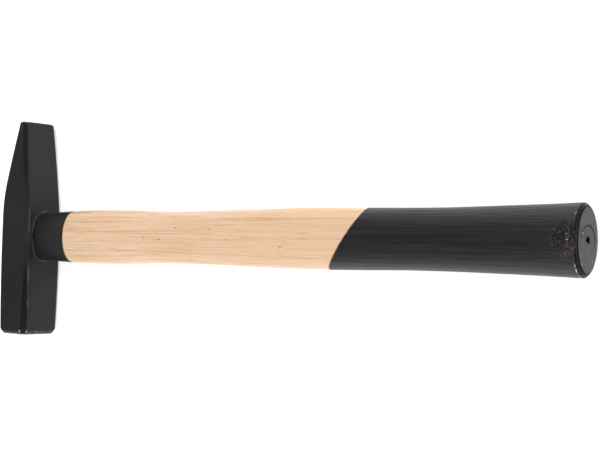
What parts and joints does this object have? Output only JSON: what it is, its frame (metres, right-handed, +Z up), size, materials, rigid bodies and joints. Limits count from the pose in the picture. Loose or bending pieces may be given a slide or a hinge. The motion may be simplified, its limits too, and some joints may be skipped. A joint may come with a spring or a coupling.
{
  "type": "cross-peen hammer",
  "caption": "Machinist's cross-peen hammer: forged black steel head wedged on an oval hickory handle with a lacquered neck and a dipped grip.",
  "frame": {"origin": "on the lower cheek, straight below the centre of the eye", "axes": "+X along the handle from the head to the butt, +Y along the head towards the peen, +Z up out of the upper cheek"},
  "size_m": [0.281, 0.095, 0.019],
  "materials": {
    "head_paint": "satin black paint on forged steel, bare at the face and peen edges",
    "hickory": "sanded pale hickory, thin clear oil",
    "wedge_wood": "sawn hardwood, end grain",
    "wedge_steel": "turned steel",
    "neck_lacquer": "thin satin black lacquer",
    "grip_dip": "semi-gloss black dip over the wood's grain"
  },
  "bodies": {
    "root": {"hammer_head": "head_paint", "handle": "hickory", "wooden_wedge": "wedge_wood", "ring_wedge": "wedge_steel", "neck_lacquer": "neck_lacquer", "grip_dip_coat": "grip_dip"}
  },
  "joints": []
}
